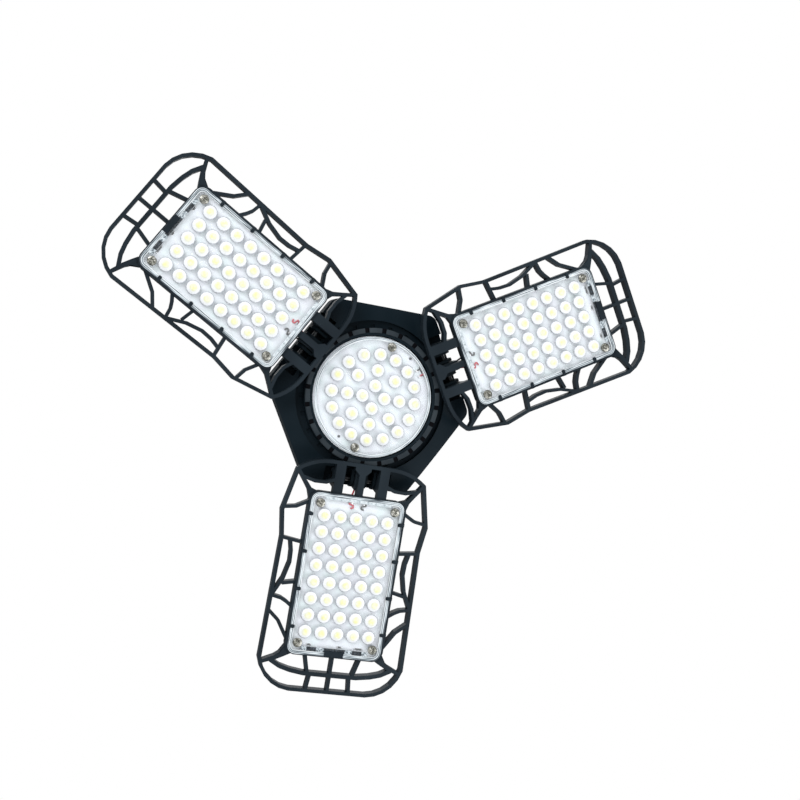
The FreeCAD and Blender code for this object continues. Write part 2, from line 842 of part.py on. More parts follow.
def web_frame():
    edge = web_outline()
    outer = edge.makeOffset2D(edge_width / 2, 2)
    inner = edge.makeOffset2D(-edge_width / 2, 2)
    band = face_between(outer, inner, frame_back, frame_front)
    envelope = Part.Face(outer)
    envelope.translate(vec(0, 0, level(frame_front)))
    envelope = envelope.extrude(vec(0, 0, frame_front - frame_back))
    ribs = web_ribs()
    ribs = [rib.common(envelope) for rib in ribs]
    tray = rounded_layer(tray_start, tray_end, tray_half_width, tray_corner_radius,
                         frame_back, tray_front)
    bars = [bar.common(envelope) for bar in end_bars()]
    body = joined(band, ribs + [mirrored(r) for r in ribs] + bars + hinge_straps() + [tray])
    pocket = rounded_layer(pocket_start, pocket_end, pocket_half_width,
                           tray_corner_radius - tray_wall, tray_floor, tray_front + 1)
    cuts = [pocket]
    spacing = 2 * (tray_half_width - 6.0) / (groove_count - 1)
    for i in range(groove_count):
        y = spacing * (i - (groove_count - 1) / 2)
        cuts.append(layer(tray_start + 12, tray_end - 12, y - groove_width / 2,
                          y + groove_width / 2, frame_back - 1, frame_back + groove_depth))
    cuts.append(pin_bore())
    corner = nut_across_flats / math.sqrt(3) + recess_gap
    cuts.append(across_pin(screw_head_radius + recess_gap, screw_head_sides, -strap_outer_to - 1,
                           screw_head_seat + fit_gap))
    cuts.append(across_pin(corner, 6, nut_seat - fit_gap, strap_outer_to + 1))
    body = body.cut(Part.makeCompound(cuts))
    stop = layer(pocket_end - 3.0, pocket_end + 0.5, -board_end_notch + 0.3,
                 board_end_notch - 0.3, tray_floor - 0.5, cover_top + 0.6)
    body = joined(body, hooks() + [stop])
    holes = [peg(screw_radius + screw_hole_gap, screw_shank_sides, frame_back + 0.6, tray_floor,
                 spot.x, spot.y) for spot in cover_screw_spots()]
    holes += [wing_lead(side, lead_radius + lead_hole_gap) for side in (-1, 1)]
    return body.cut(Part.makeCompound(holes))


def wing_board():
    board = rounded_layer(pocket_start + board_margin, pocket_end - board_margin,
                          pocket_half_width - board_margin, tray_corner_radius - tray_wall - 1,
                          tray_floor, wing_plane)
    cuts = [peg(screw_radius + screw_hole_gap, screw_shank_sides, tray_floor, wing_plane,
                spot.x, spot.y) for spot in cover_screw_spots()]
    cuts.append(layer(pocket_end - 3.4, pocket_end, -board_end_notch, board_end_notch,
                      tray_floor, wing_plane))
    cuts += [wing_lead(side, lead_radius + lead_hole_gap) for side in (-1, 1)]
    return board.cut(Part.makeCompound(cuts))


def wing_cover():
    margin = 0.3
    start = pocket_start + margin
    end = pocket_end - margin
    half = pocket_half_width - margin
    corner = tray_corner_radius - tray_wall
    slab = rounded_layer(start, end, half, corner, wing_plane, cover_top)
    inside = rounded_layer(start + cover_lip, end - cover_lip, half - cover_lip, corner - cover_lip,
                           wing_plane, wing_plane + cover_gap)
    body = joined(slab.cut(inside), lens_domes(wing_led_spots(), wing_plane))
    cuts = [peg(screw_radius + screw_hole_gap, screw_shank_sides, wing_plane, cover_top,
                spot.x, spot.y) for spot in cover_screw_spots()]
    cuts.append(layer(pocket_end - 3.4, pocket_end, -board_end_notch, board_end_notch,
                      wing_plane, cover_top))
    return body.cut(Part.makeCompound(cuts))


def wing_cover_screws():
    length = cover_top - frame_back - 1.2
    return Part.makeCompound([pan_screw(s.x, s.y, cover_top, length) for s in cover_screw_spots()])


def across_pin(radius, sides, start, end):
    """A prism about the hinge pin's line, from y = start to y = end."""
    face = Part.Face(trace(ring(radius, sides), upright))
    prism = face.extrude(vec(0, end - start, 0))
    prism.translate(vec(hinge_radius, start, level(hinge_level)))
    return prism


def pin_bore():
    """The hole for the pin: its flats keep the clearance from the pin."""
    corner = (pin_radius + pin_clearance) / math.cos(math.pi / bore_sides)
    return across_pin(corner, bore_sides, -bay_half_width, bay_half_width)


def hinge_screw():
    """The hinge's pin: a screw through all the knuckles and ears, its head sunk in the last."""
    head = across_pin(screw_head_radius, screw_head_sides, screw_head_seat - screw_head_height,
                      screw_head_seat)
    pin = Part.makeCylinder(pin_radius, strap_outer_to - 0.2 - screw_head_seat,
                            vec(hinge_radius, screw_head_seat, level(hinge_level)), vec(0, 1, 0))
    return joined(head, [pin])


def hinge_nut():
    """The lock nut that sets the hinge's friction, sunk in the other outer knuckle."""
    body = across_pin(nut_across_flats / math.sqrt(3), 6, nut_seat, nut_seat + nut_height)
    bore = (pin_radius + pin_clearance) / math.cos(math.pi / 8)
    return body.cut(across_pin(bore, 8, nut_seat, nut_seat + nut_height))


# ---- Write every piece ----

def main():
    os.makedirs("parts", exist_ok=True)
    save("screw_shell", screw_shell())
    save("cap_insulator", cap_insulator())
    save("centre_contact", centre_contact())
    save("driver_housing", driver_housing())
    save("housing_screws", housing_screws())
    save("driver_board", driver_board())
    save("driver_transformer", driver_transformer())
    save("driver_capacitors", driver_capacitors())
    save("hub_shell", hub_shell())
    save("hub_led_board", hub_board())
    save("hub_led_chips", chips(hub_led_spots(), 0.0))
    save("hub_lens_cover", hub_cover())
    save("hub_cover_screws", hub_cover_screws())
    save("hub_lead_red", hub_lead(1))
    save("hub_lead_black", hub_lead(-1))
    pieces = {
        "frame": web_frame(),
        "led_board": wing_board(),
        "led_chips": chips(wing_led_spots(), wing_plane),
        "lens_cover": wing_cover(),
        "cover_screws": wing_cover_screws(),
        "hinge_screw": hinge_screw(),
        "hinge_nut": hinge_nut(),
        "lead_red": wing_lead(1),
        "lead_black": wing_lead(-1),
    }
    for letter, bearing in wing_bearings.items():
        for name, shape in pieces.items():
            save("wing_" + letter + "_" + name, turned_to(shape, bearing))


main()
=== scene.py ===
import json
import math
import bpy
import numpy as np
from functools import partial
from mathutils import Euler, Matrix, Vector


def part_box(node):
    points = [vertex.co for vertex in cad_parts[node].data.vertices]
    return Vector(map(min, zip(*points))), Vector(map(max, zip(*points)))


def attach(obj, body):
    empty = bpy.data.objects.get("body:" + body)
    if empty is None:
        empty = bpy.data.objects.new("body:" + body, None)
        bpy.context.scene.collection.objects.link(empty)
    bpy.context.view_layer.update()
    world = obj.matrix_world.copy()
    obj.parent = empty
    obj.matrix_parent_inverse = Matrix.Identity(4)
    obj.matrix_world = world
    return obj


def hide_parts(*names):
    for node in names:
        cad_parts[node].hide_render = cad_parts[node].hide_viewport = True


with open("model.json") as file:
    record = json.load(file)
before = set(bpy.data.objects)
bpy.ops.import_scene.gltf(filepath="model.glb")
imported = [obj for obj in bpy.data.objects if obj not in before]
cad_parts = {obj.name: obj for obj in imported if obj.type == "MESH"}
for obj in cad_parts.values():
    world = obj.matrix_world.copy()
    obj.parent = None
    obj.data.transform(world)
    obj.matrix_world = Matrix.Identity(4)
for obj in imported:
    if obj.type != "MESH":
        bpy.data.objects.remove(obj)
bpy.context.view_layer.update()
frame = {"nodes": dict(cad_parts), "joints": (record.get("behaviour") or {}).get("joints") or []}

# The finish of a folding garage light: a hub that hangs from its screw cap and three hinged
# wings. Metres, +Z up along the cap, LEDs facing down.

MM = 0.001

# ---- Sizes, many of them shared with the solids ----

hub_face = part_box("hub_led_board")[0].z
wing_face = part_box("wing_c_led_board")[0].z
screw_head_radius = 2.8 * MM
screw_head_height = 1.6 * MM
cover_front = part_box("wing_c_cover_screws")[0].z + screw_head_height
hub_cover_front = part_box("hub_cover_screws")[0].z + screw_head_height
led_pitch_along = 10.165 * MM
led_pitch_across = 10.0 * MM
led_columns = 8
led_rows = 5
first_led = 75.17 * MM
hub_rings = ((4, 7.1 * MM), (8, 16.76 * MM), (16, 26.75 * MM))
lens_radius = 4.4 * MM
lens_height = 2.77 * MM
cover_gap = 1.3 * MM
cover_lip = 1.1 * MM
hub_cover_radius = 36.7 * MM
cover_start = 62.5 * MM
cover_end = 159.5 * MM
cover_half = 28.5 * MM
cover_corner = 4.0 * MM
chip_height = 0.7 * MM
hub_screw_circle = 33.0 * MM
hub_screw_bearing = -78.75
lead_bearing = -36.0
lead_spacing = 7.6 * MM
lead_radius = 0.55 * MM
lead_clearance = 0.6 * MM
lead_drop = 64.8 * MM
lead_end = 55.5 * MM
lead_end_half = 1.5 * MM
lead_bend = 0.6 * MM
screw_along = 7.2 * MM
screw_across = 3.5 * MM

# Bends of a wing's leads over the board, as (along, outward) in mm.
lead_kinks = ((69.3, 0.4), (68.6, -1.4), (67.2, -0.9), (66.7, 1.6), (65.6, 1.2))

# The cross recess of a screw head, as in cross_screw_head.
cross_arm_half = 0.44 * MM
cross_reach = 1.5 * MM
cross_slope = 0.16 * MM
cross_depth = 1.0 * MM

# Points round each turned shape.
screw_head_sides = 48
lens_sides = 16
glow_sides = 14
cover_sides = 76
shell_sides = 72

# The pale cap over each lens, painted light: its lift, its inset, rows of (share of the radius,
# painted white, warm) from its foot, and (painted white, warm) at its pole.
glow_lift = 0.03 * MM
glow_inset = 0.02 * MM
glow_rows = np.array([(1.0, 0.75, 0.0), (0.84, 0.95, 0.12), (0.6, 0.78, 0.4), (0.46, 0.7, 0.75),
                      (0.26, 0.8, 0.95)])
glow_pole = (0.85, 1.0)

# The beads of painted glints round the covers, as (inset mm, height mm, glint, veil) section rows.
rim_cut = 1.4 * MM
hub_rim_section = ((-0.35, 0.02, 0.1, 0.9), (-0.35, 0.28, 0.4, 0.9), (0.0, 0.32, 0.95, 0.9),
                   (0.4, 0.26, 0.25, 0.85), (0.8, 0.2, 0.9, 0.85), (1.3, 0.12, 0.75, 0.5),
                   (1.9, 0.06, 0.9, 0.0), (1.9, 0.02, 0.9, 0.0))
wing_rim_section = ((-0.9, 0.22, 0.05, 0.9), (-0.9, 0.4, 0.15, 0.9), (-0.55, 0.44, 0.62, 0.9),
                    (-0.2, 0.34, 0.12, 0.9), (0.2, 0.26, 0.9, 0.9), (0.7, 0.16, 0.3, 0.85),
                    (1.2, 0.1, 0.95, 0.8), (1.8, 0.06, 0.9, 0.0), (1.8, 0.02, 0.9, 0.0),
                    (-0.2, 0.02, 0.5, 0.5), (-0.25, 0.22, 0.5, 0.5))

# Painted-glint strips across a wing cover's ends, and the tips of the hooks that hold its sides.
outer_strip = (155.4 * MM, 158.0 * MM)
inner_strip = (63.7 * MM, 65.4 * MM)
strip_half = 21.0 * MM
hook_along = (75.3 * MM, 98.2 * MM, 121.1 * MM, 144.0 * MM)
hook_across = 28.3 * MM
hook_set_back = 0.2 * MM

# In mm from the middle of a strip: the end stop, the snap beside it, and the inner strip's tabs.
stop_half = 6.4
snap_from = 11.6
snap_to = 17.4
tab_pitch = 5.2
tab_width = 1.2

# Corner gussets: their back and front, measured down from the hub's LED board, and plans in mm.
gusset_back = 3.55 * MM
gusset_front = 8.95 * MM
near_gusset = ((61.3, 26.2), (66.6, 30.6), (61.4, 32.3), (55.0, 36.9), (53.8, 35.3), (59.9, 30.2))
far_gusset = ((156.2, 30.6), (160.8, 26.4), (163.0, 30.4), (165.3, 34.9), (168.2, 42.7),
              (166.2, 43.4), (162.9, 36.2), (160.2, 32.6))

# Pads, each as half length, half width and height.
gel_pad = (1.25 * MM, 1.0 * MM, 0.12 * MM)
gel_sink = 0.02 * MM
hook_pad = (1.1 * MM, 1.5 * MM, 0.7 * MM)
resistor_pad = (0.5 * MM, 1.0 * MM, 0.55 * MM)
fillet_pad = (0.65 * MM, 0.5 * MM, 0.35 * MM)
wing_joint_pad = (1.3 * MM, 0.9 * MM, 0.8 * MM)
hub_joint_pad = (1.2 * MM, 0.9 * MM, 0.8 * MM)
stud_pad = (0.8 * MM, 0.8 * MM, 0.7 * MM)
# The collar's gap pad is painted shadow, a dark sheet where the gaps lie in shade.
collar_shadow_pad = (1.5 * MM, 1.4 * MM, 0.06 * MM)

# Small parts on the boards: resistors past the last LEDs, solder joints and studs.
resistor_along = 8.2 * MM
resistor_across = (-16.6 * MM, -14.2 * MM, -3.3 * MM, 15.9 * MM)
resistor_end = 1.25 * MM
wing_joint_along = 9.0 * MM
hub_joint_circle = 32.7 * MM
studs = ((34.0 * MM, -54.0), (32.0 * MM, 122.0))

# The collar of blocks round the hub's bezel: a section in mm as (radius, height) rows.
collar_blocks = 24
collar_gap = 2.8 / 41.0
collar_drop = 2.0 * MM
# The ring on which the painted shadow pads lie, in the collar's gaps.
collar_gap_circle = 41.4 * MM
collar_section = ((42.8, 0.0), (42.7, -0.45), (42.3, -0.75), (40.0, -0.75), (39.7, -0.5),
                  (39.7, 0.0))

# The rolled screw cap.
cap_radius = 13.1 * MM
cap_length = 18.0 * MM
cap_shoulder = 2.6 * MM
cap_mouth = 8.6 * MM
thread_pitch = 3.62 * MM
thread_depth = 0.75 * MM
thread_fade_foot = 1.5 * MM
thread_fade_top = 2.2 * MM
shell_wall = 0.4 * MM

# ---- Studio: lamps as (name, place, target, side in metres, watts), camera and floor ----

lamps = (("key", (-0.9, -0.9, -1.2), (0, 0, -0.08), 0.9, 15.5),
         ("fill", (1.0, 0.5, -1.0), (0, 0, -0.08), 1.1, 11.0),
         ("top", (0.3, -0.5, 1.2), (0, 0, -0.05), 1.2, 16.0))
world_light = 0.72
camera_place = (-0.16447, 0.00114, -0.72753)
camera_turn = (177.5674, 15.3530, -9.8178)
camera_lens = 49.12
sensor_width = 36.0
floor_half = 4.0
floor_height = -1.7

wing_bearings = {}
for joint in frame["joints"]:
    place = joint["pos_m"]
    wing_bearings[joint["child"]] = math.degrees(math.atan2(place[1], place[0]))


# ---- Mesh helpers ----

def make_piece(name, points, faces, material, body, smooth=True):
    """A mesh from a point array and a list of face-index arrays, riding on a body."""
    mesh = bpy.data.meshes.new(name)
    counts = np.concatenate([np.full(len(f), f.shape[1], dtype=np.int32) for f in faces])
    loops = np.concatenate([f.ravel() for f in faces]).astype(np.int32)
    starts = np.concatenate([[0], np.cumsum(counts)[:-1]]).astype(np.int32)
    mesh.vertices.add(len(points))
    mesh.vertices.foreach_set("co", np.asarray(points, dtype=np.float32).ravel())
    mesh.loops.add(len(loops))
    mesh.loops.foreach_set("vertex_index", loops)
    mesh.polygons.add(len(counts))
    mesh.polygons.foreach_set("loop_start", starts)
    mesh.polygons.foreach_set("loop_total", counts)
    mesh.polygons.foreach_set("use_smooth", np.full(len(counts), smooth))
    mesh.update(calc_edges=True)
    mesh.validate()
    piece = bpy.data.objects.new(name, mesh)
    bpy.context.scene.collection.objects.link(piece)
    piece.data.materials.append(material)
    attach(piece, body)
    return piece


def ring_faces(rings, sides, loop=False):
    """Quads between neighbouring rings of `sides` points; loop joins the last to the first."""
    steps = rings if loop else rings - 1
    i = np.arange(steps)[:, None]
    j = np.arange(sides)[None, :]
    k = (j + 1) % sides
    n = (i + 1) % rings
    quads = np.stack([i * sides + j, i * sides + k, n * sides + k, n * sides + j], -1)
    return quads.reshape(-1, 4)


def capped(rings):
    """Closes a stack of rings (n, m, 3), read from foot to top, with a fan at each end."""
    count, sides = rings.shape[:2]
    points = np.vstack([rings.reshape(-1, 3), rings[0].mean(0), rings[-1].mean(0)])
    j = np.arange(sides)
    k = (j + 1) % sides
    foot, top = count * sides, count * sides + 1
    last = (count - 1) * sides
    fans = np.vstack([np.stack([k, j, np.full(sides, foot)], -1),
                      np.stack([last + j, last + k, np.full(sides, top)], -1)])
    return points, [ring_faces(count, sides), fans]


def spun(profile, sides):
    """Rings about Z from (radius, height) rows: (r cos t, r sin t, z)."""
    profile = np.asarray(profile, dtype=float)
    turn = np.linspace(0, 2 * np.pi, sides, endpoint=False)
    return np.stack([profile[:, :1] * np.cos(turn), profile[:, :1] * np.sin(turn),
                     np.repeat(profile[:, 1:], sides, 1)], -1)


def repeated(points, faces, spots):
    """The same small mesh at every spot, as one mesh."""
    spots = np.asarray(spots, dtype=float)
    count = len(points)
    many = (points[None] + spots[:, None]).reshape(-1, 3)
    shift = (np.arange(len(spots)) * count)[:, None, None]
    return many, [(f[None] + shift).reshape(-1, f.shape[1]) for f in faces]


def facing_down(points):
    """Turns points half a turn about X, so that +Z comes to face the floor."""
    return points * np.array([1, -1, -1])


def turned(points, bearing):
    """Turns points about Z by a bearing in degrees."""
    t = math.radians(bearing)
    spin = np.array([[math.cos(t), math.sin(t), 0], [-math.sin(t), math.cos(t), 0], [0, 0, 1]])
    return points @ spin


def gathered(parts):
    """Several (points, faces) meshes as one."""
    points = []
    faces = []
    shift = 0
    for some_points, some_faces in parts:
        points.append(some_points)
        faces += [f + shift for f in some_faces]
        shift += len(some_points)
    return np.vstack(points), faces


def hub_spots(height):
    """The hub's LED centres: even steps round three rings."""
    rows = [(r * math.cos(2 * math.pi * i / n), r * math.sin(2 * math.pi * i / n), height)
            for n, r in hub_rings for i in range(n)]
    return np.array(rows)


def wing_spots(height):
    """A wing's LED centres along +X: an even grid of columns and rows."""
    x = first_led + led_pitch_along * np.arange(led_columns)
    y = led_pitch_across * (np.arange(led_rows) - (led_rows - 1) / 2)
    grid = np.stack(np.meshgrid(x, y, indexing="ij"), -1).reshape(-1, 2)
    return np.column_stack([grid, np.full(len(grid), height)])


def wing_screw_spots(height):
    """A wing's four cover screws, just outside the corners of its LED grid."""
    ends = (first_led - screw_along, first_led + (led_columns - 1) * led_pitch_along + screw_along)
    side = led_pitch_across * (led_rows - 1) / 2 + screw_across
    return np.array([(x, s * side, height) for x in ends for s in (-1, 1)])


# ---- Materials ----

class Finish:
    """A node material with one Principled shader and short calls to wire it."""

    def __init__(self, name, colour, roughness, metallic=0.0):
        self.material = bpy.data.materials.new(name)
        self.material.use_nodes = True
        self.tree = self.material.node_tree
        self.shader = self.tree.nodes["Principled BSDF"]
        self.shader.inputs["Base Color"].default_value = (*colour, 1)
        self.shader.inputs["Roughness"].default_value = roughness
        self.shader.inputs["Metallic"].default_value = metallic
        self.place = self.add("ShaderNodeTexCoord").outputs["Object"]

    def add(self, kind, **settings):
        node = self.tree.nodes.new(kind)
        for key, value in settings.items():
            if hasattr(node, key):
                setattr(node, key, value)
            else:
                node.inputs[key.replace("_", " ").title()].default_value = value
        return node

    def wire(self, source, target):
        self.tree.links.new(source, target)

    def noise(self, size, detail=3.0, stretch=None):
        """Cloudy noise whose features are about `size` metres across."""
        node = self.add("ShaderNodeTexNoise", scale=1.0 / size, detail=detail)
        source = self.place
        if stretch is not None:
            mapping = self.add("ShaderNodeMapping")
            mapping.inputs["Scale"].default_value = stretch
            self.wire(source, mapping.inputs["Vector"])
            source = mapping.outputs["Vector"]
        self.wire(source, node.inputs["Vector"])
        return node.outputs["Fac"]

    def ramp(self, source, stops):
        """Maps a value to colours by (position, colour) stops."""
        node = self.add("ShaderNodeValToRGB")
        elements = node.color_ramp.elements
        while len(elements) < len(stops):
            elements.new(0.5)
        for element, (position, colour) in zip(elements, stops):
            element.position = position
            element.color = (*colour, 1)
        self.wire(source, node.inputs["Fac"])
        return node.outputs["Color"]

    def spread(self, source, low, high):
        """Maps 0.3 to 0.7 of a noise onto low to high."""
        node = self.add("ShaderNodeMapRange")
        node.inputs["From Min"].default_value = 0.3
        node.inputs["From Max"].default_value = 0.7
        node.inputs["To Min"].default_value = low
        node.inputs["To Max"].default_value = high
        self.wire(source, node.inputs["Value"])
        return node.outputs["Result"]

    def bump(self, source, height, strength=1.0, rounding=0.0):
        """A surface relief of `height` metres, over edges softened by `rounding`."""
        node = self.add("ShaderNodeBump")
        node.inputs["Strength"].default_value = strength
        node.inputs["Distance"].default_value = height
        self.wire(source, node.inputs["Height"])
        if rounding > 0:
            edge = self.add("ShaderNodeBevel", samples=4)
            edge.inputs["Radius"].default_value = rounding
            self.wire(edge.outputs["Normal"], node.inputs["Normal"])
        self.wire(node.outputs["Normal"], self.shader.inputs["Normal"])


def satin_black_plastic(name, dark, pale, coat):
    """Injection-moulded black ABS: fine spark texture, faint flow clouding, soft edges.

    The texture keeps it dark at a flat angle too, so the gloss is a thin coat over a dull body.
    """
    f = Finish(name, dark, 0.5)
    f.shader.inputs["Specular IOR Level"].default_value = 0.0
    f.shader.inputs["Coat Weight"].default_value = coat
    f.shader.inputs["Coat Roughness"].default_value = 0.32
    f.wire(f.ramp(f.noise(0.03, 2.0), [(0.3, dark), (0.7, pale)]), f.shader.inputs["Base Color"])
    f.wire(f.spread(f.noise(0.006, 4.0), 0.45, 0.6), f.shader.inputs["Roughness"])
    f.bump(f.noise(0.00035, 2.0), 0.00002, 0.5, 0.0004)
    return f.material


def collar_painted_sheen():
    """The same black plastic, drawn paler on the raised ring round the hub's lens: painted sheen.
    """
    f = Finish("collar_painted_sheen", (0.022, 0.03, 0.036), 0.5)
    f.shader.inputs["Specular IOR Level"].default_value = 0.1
    f.wire(f.ramp(f.noise(0.02, 3.0), [(0.3, (0.012, 0.018, 0.023)), (0.7, (0.036, 0.046, 0.054))]),
           f.shader.inputs["Base Color"])
    f.bump(f.noise(0.00035, 2.0), 0.00002, 0.5, 0.0002)
    return f.material


def painted_gap_shadow():
    """Painted shadow: near-black pads at the bottom of the collar's gaps, matt from its spark
    texture.
    """
    f = Finish("painted_gap_shadow", (0.002, 0.002, 0.003), 0.8)
    f.shader.inputs["Specular IOR Level"].default_value = 0.05
    f.bump(f.noise(0.0004, 2.0), 0.00002, 0.4)
    return f.material


def white_solder_mask():
    """White board lacquer: slightly blue, with faint tints and a faint copper pattern under it."""
    f = Finish("white_solder_mask", (0.78, 0.83, 0.85), 0.36)
    tint = f.noise(0.009, 2.0)
    f.wire(f.ramp(tint, [(0.3, (0.80, 0.90, 0.92)), (0.5, (0.85, 0.90, 0.95)),
                         (0.7, (0.86, 0.88, 0.95))]), f.shader.inputs["Base Color"])
    f.wire(f.spread(f.noise(0.002, 3.0), 0.3, 0.42), f.shader.inputs["Roughness"])
    copper = f.add("ShaderNodeTexVoronoi", feature="DISTANCE_TO_EDGE", scale=130.0)
    f.wire(f.place, copper.inputs["Vector"])
    f.bump(copper.outputs["Distance"], 0.00003, 0.25)
    return f.material


def chip_package():
    """The LED's moulded white package."""
    f = Finish("chip_package", (0.84, 0.83, 0.74), 0.4)
    f.wire(f.ramp(f.noise(0.0009, 2.0), [(0.3, (0.80, 0.79, 0.66)), (0.7, (0.88, 0.87, 0.78))]),
           f.shader.inputs["Base Color"])
    return f.material


def phosphor_gel():
    """Yellow phosphor in silicone gel, a little deeper where it is thick."""
    f = Finish("phosphor_gel", (0.82, 0.80, 0.30), 0.28)
    f.wire(f.ramp(f.noise(0.0014, 3.0), [(0.3, (0.84, 0.80, 0.34)), (0.7, (0.80, 0.80, 0.22))]),
           f.shader.inputs["Base Color"])
    f.shader.inputs["Coat Weight"].default_value = 0.5
    return f.material


def clear_polycarbonate():
    """Clear moulded cover: nearly invisible face on, with a light flow ripple in its gloss."""
    f = Finish("clear_polycarbonate", (0.90, 0.94, 0.96), 0.06)
    f.shader.inputs["Alpha"].default_value = 0.08
    f.shader.inputs["IOR"].default_value = 1.58
    f.wire(f.spread(f.noise(0.012, 2.0), 0.03, 0.1), f.shader.inputs["Roughness"])
    f.bump(f.noise(0.015, 2.0), 0.0001, 0.3)
    return f.material


def lens_glow():
    """Painted light of each lens: white at its foot, the chip's yellow enlarged at its middle."""
    f = Finish("lens_glow", (0.97, 0.98, 0.98), 0.2)
    f.shader.inputs["Specular IOR Level"].default_value = 0.2
    weight = f.add("ShaderNodeAttribute", attribute_name="milk")
    f.wire(weight.outputs["Fac"], f.shader.inputs["Alpha"])
    warm = f.add("ShaderNodeAttribute", attribute_name="warm")
    broken = f.add("ShaderNodeMath", operation="MULTIPLY")
    f.wire(warm.outputs["Fac"], broken.inputs[0])
    f.wire(f.spread(f.noise(0.0017, 3.0), 0.72, 1.12), broken.inputs[1])
    f.wire(f.ramp(broken.outputs[0], [(0.0, (0.93, 0.955, 1.0)), (0.3, (0.97, 0.985, 1.0)),
                                      (0.6, (0.98, 0.985, 0.86)), (0.85, (0.96, 0.96, 0.62)),
                                      (1.0, (0.92, 0.91, 0.45))]),
           f.shader.inputs["Base Color"])
    return f.material


def painted_edge_glints():
    """Painted glints and shade of a clear cover's edge, black over black parts, from `glint` and
    `veil`.
    """
    f = Finish("painted_edge_glints", (0.55, 0.61, 0.64), 0.16)
    glint = f.add("ShaderNodeAttribute", attribute_name="glint")
    f.wire(f.ramp(glint.outputs["Fac"], [(0.0, (0.008, 0.012, 0.016)), (0.3, (0.08, 0.10, 0.12)),
                                         (0.55, (0.50, 0.57, 0.61)), (1.0, (0.94, 0.98, 1.0))]),
           f.shader.inputs["Base Color"])
    veil = f.add("ShaderNodeAttribute", attribute_name="veil")
    f.wire(veil.outputs["Fac"], f.shader.inputs["Alpha"])
    return f.material


def plated_screw():
    """Nickel-plated steel screw, slightly bronzed, with fine turning marks."""
    f = Finish("plated_screw", (0.3, 0.3, 0.27), 0.36, 1.0)
    f.wire(f.ramp(f.noise(0.0015, 3.0), [(0.35, (0.08, 0.08, 0.07)), (0.5, (0.22, 0.22, 0.19)),
                                         (0.68, (0.55, 0.54, 0.50))]),
           f.shader.inputs["Base Color"])
    f.wire(f.spread(f.noise(0.0005, 2.0), 0.25, 0.45), f.shader.inputs["Roughness"])
    f.bump(f.noise(0.0002, 2.0), 0.00002, 0.4)
    return f.material


def blackened_steel():
    """The hinge's screw and nut: dark oxide with a little oil."""
    f = Finish("blackened_steel", (0.03, 0.032, 0.034), 0.4, 1.0)
    f.wire(f.ramp(f.noise(0.002, 3.0), [(0.3, (0.012, 0.013, 0.015)), (0.7, (0.06, 0.062, 0.064))]),
           f.shader.inputs["Base Color"])
    f.bump(f.noise(0.0003, 2.0), 0.00002, 0.4)
    return f.material


def rolled_nickel():
    """Nickel-plated rolled shell, drawn marks running round it."""
    f = Finish("rolled_nickel", (0.74, 0.72, 0.68), 0.24, 1.0)
    marks = f.noise(0.004, 4.0, (1.0, 1.0, 14.0))
    f.wire(f.ramp(marks, [(0.3, (0.66, 0.64, 0.60)), (0.7, (0.80, 0.79, 0.76))]),
           f.shader.inputs["Base Color"])
    f.wire(f.spread(marks, 0.16, 0.34), f.shader.inputs["Roughness"])
    f.bump(marks, 0.00002, 0.3)
    return f.material


def black_vitrite():
    """Black glass insulator of the cap, cast with a slight ripple."""
    f = Finish("black_vitrite", (0.012, 0.011, 0.014), 0.1)
    f.wire(f.spread(f.noise(0.003, 2.0), 0.05, 0.18), f.shader.inputs["Roughness"])
    f.bump(f.noise(0.002, 2.0), 0.00005, 0.4)
    return f.material


def contact_solder():
    """Tinned brass contact with a soldered centre."""
    f = Finish("contact_solder", (0.70, 0.64, 0.50), 0.36, 1.0)
    f.wire(f.ramp(f.noise(0.002, 3.0), [(0.35, (0.74, 0.60, 0.32)), (0.6, (0.66, 0.65, 0.62))]),
           f.shader.inputs["Base Color"])
    f.bump(f.noise(0.0016, 2.0), 0.0001, 0.6)
    return f.material


def tinned_solder():
    """Bright tin solder on pads."""
    f = Finish("tinned_solder", (0.72, 0.73, 0.75), 0.3, 1.0)
    f.wire(f.spread(f.noise(0.0006, 2.0), 0.2, 0.42), f.shader.inputs["Roughness"])
    return f.material


def lead_sleeve(name, colour, dark):
    """Soft wire insulation with faint stretch marks."""
    f = Finish(name, colour, 0.38)
    f.wire(f.ramp(f.noise(0.002, 3.0), [(0.3, dark), (0.7, colour)]),
           f.shader.inputs["Base Color"])
    f.wire(f.spread(f.noise(0.001, 2.0), 0.3, 0.46), f.shader.inputs["Roughness"])
    return f.material


def resistor_ceramic():
    """Dark glazed body of a surface-mount part."""
    f = Finish("resistor_ceramic", (0.03, 0.03, 0.035), 0.3)
    f.wire(f.spread(f.noise(0.0006, 2.0), 0.2, 0.4), f.shader.inputs["Roughness"])
    return f.material


def green_laminate():
    """Glass-fibre board under green lacquer: a fine crossed weave."""
    f = Finish("green_laminate", (0.02, 0.16, 0.06), 0.35)
    weave = f.add("ShaderNodeTexChecker", scale=2400.0)
    f.wire(f.place, weave.inputs["Vector"])
    f.wire(f.ramp(f.noise(0.01, 2.0), [(0.3, (0.015, 0.13, 0.05)), (0.7, (0.03, 0.2, 0.08))]),
           f.shader.inputs["Base Color"])
    f.bump(weave.outputs["Fac"], 0.00001, 0.3)
    return f.material


def winding_tape():
    """Yellow polyester tape wound on the transformer."""
    f = Finish("winding_tape", (0.75, 0.55, 0.08), 0.3)
    layers = f.noise(0.006, 2.0, (1.0, 1.0, 6.0))
    f.wire(f.ramp(layers, [(0.3, (0.66, 0.46, 0.05)), (0.7, (0.82, 0.62, 0.12))]),
           f.shader.inputs["Base Color"])
    f.bump(layers, 0.0001, 0.4)
    return f.material


